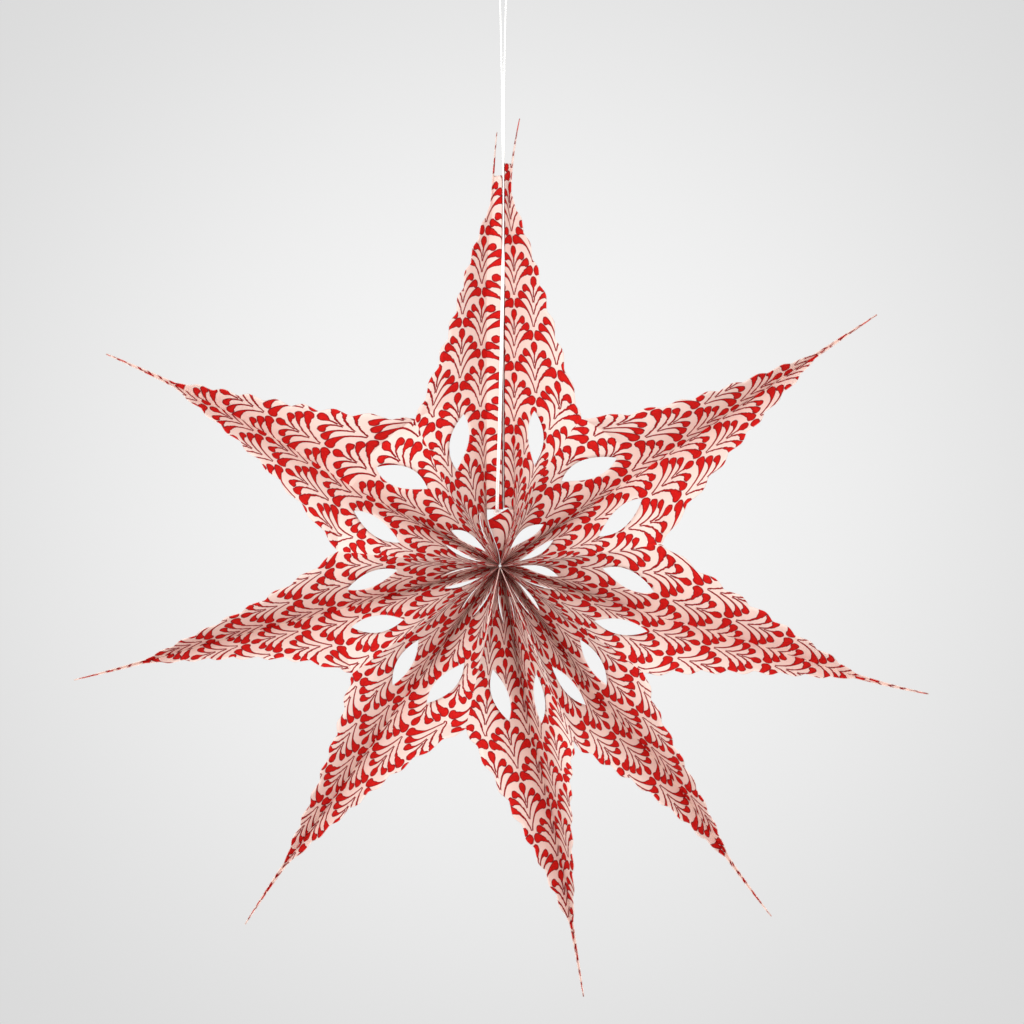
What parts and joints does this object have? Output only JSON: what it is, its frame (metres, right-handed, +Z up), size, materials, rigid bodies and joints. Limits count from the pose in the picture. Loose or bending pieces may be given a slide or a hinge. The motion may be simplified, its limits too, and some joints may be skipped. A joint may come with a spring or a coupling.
{
  "type": "pleated paper star",
  "caption": "Hanging star of pleated, printed handmade paper with scalloped points and almond cut-outs, opened full circle from a tight hub and hung on a doubled white thread.",
  "frame": {"origin": "the top of the thread loop, where the hook bears on it", "axes": "+Z up as the star hangs, +Y away from the viewer through the star's thickness, +X to the viewer's right across the star"},
  "size_m": [0.5722, 0.0629, 0.681],
  "materials": {
    "printed_paper": "handmade cream paper with a red block-print ornament, matt and slightly fibrous",
    "thread": "white twisted cotton thread, matt"
  },
  "bodies": {
    "root": {"right_pleats": "printed_paper", "bottom_point": "printed_paper", "left_pleats": "printed_paper", "hanging_thread": "thread", "thread_knot": "thread"}
  },
  "joints": []
}
